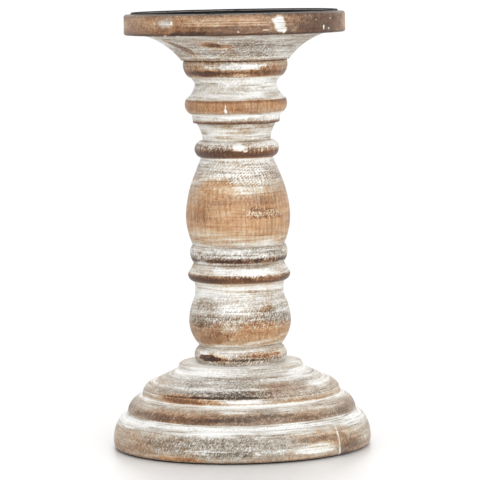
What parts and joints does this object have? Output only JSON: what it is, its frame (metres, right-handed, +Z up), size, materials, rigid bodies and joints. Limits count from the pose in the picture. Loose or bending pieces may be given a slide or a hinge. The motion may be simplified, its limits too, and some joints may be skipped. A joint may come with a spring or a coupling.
{
  "type": "pillar candlestick",
  "caption": "Turned wooden pillar candlestick with a distressed whitewash, a stepped round base and a black steel candle pan let into its top plate.",
  "frame": {"origin": "centre of the felt's underside, where the candlestick stands", "axes": "+Z up along the turning axis; X and Y are any two square directions, because the turned shape is the same all round"},
  "size_m": [0.151, 0.151, 0.254],
  "materials": {
    "whitewashed_wood": "turned hardwood with a worn white wash, rubbed back to brown on the raised edges, matt",
    "black_pan_steel": "pressed sheet steel, black, semi-gloss",
    "beech_dowel": "bare beech, glued",
    "zinc_plated_steel": "bright zinc plating",
    "dark_felt": "dark wool felt, glued on"
  },
  "bodies": {
    "root": {"top_plate": "whitewashed_wood", "stem_upper": "whitewashed_wood", "stem_bulb": "whitewashed_wood", "stem_disc": "whitewashed_wood", "stem_lower": "whitewashed_wood", "stem_collar": "whitewashed_wood", "base_turning": "whitewashed_wood", "candle_pan": "black_pan_steel", "pan_screw": "black_pan_steel", "dowel_top": "beech_dowel", "dowel_upper": "beech_dowel", "dowel_middle": "beech_dowel", "base_screw": "zinc_plated_steel", "base_washer": "zinc_plated_steel", "base_felt": "dark_felt"}
  },
  "joints": []
}
